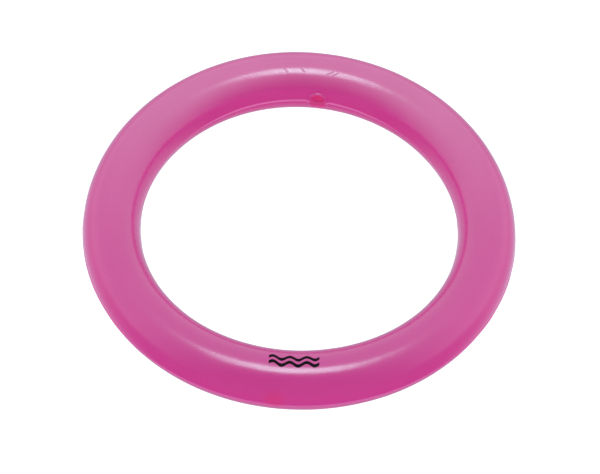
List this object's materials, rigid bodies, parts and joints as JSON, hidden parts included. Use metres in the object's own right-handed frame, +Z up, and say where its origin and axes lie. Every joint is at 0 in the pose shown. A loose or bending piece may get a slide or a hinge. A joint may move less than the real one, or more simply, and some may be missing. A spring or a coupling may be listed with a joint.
{
  "type": "dive ring",
  "caption": "Hand-held soft hollow ring, weighted inside and closed by a push-in filler plug, for throwing, passing and diving exercises.",
  "frame": {"origin": "on the resting plane, at the middle of the ring", "axes": "+Z up through the ring's opening; the printed mark faces -Y and the filler plug is near +Y, 5 degrees towards +X"},
  "size_m": [0.1706, 0.1706, 0.0227],
  "materials": {
    "soft_pvc": "gloss",
    "plug_pvc": "gloss",
    "sand": "matte",
    "ink": "satin"
  },
  "bodies": {
    "ring": {"ring_shell": "soft_pvc", "ballast_fill": "sand", "printed_mark": "ink"},
    "plug": {"filler_plug": "plug_pvc"}
  },
  "joints": [
    {"name": "plug_pull", "type": "slide", "parent": "ring", "child": "plug", "axis": [-0.0872, -0.9962, 0], "range_m": [0, 0.012]}
  ]
}
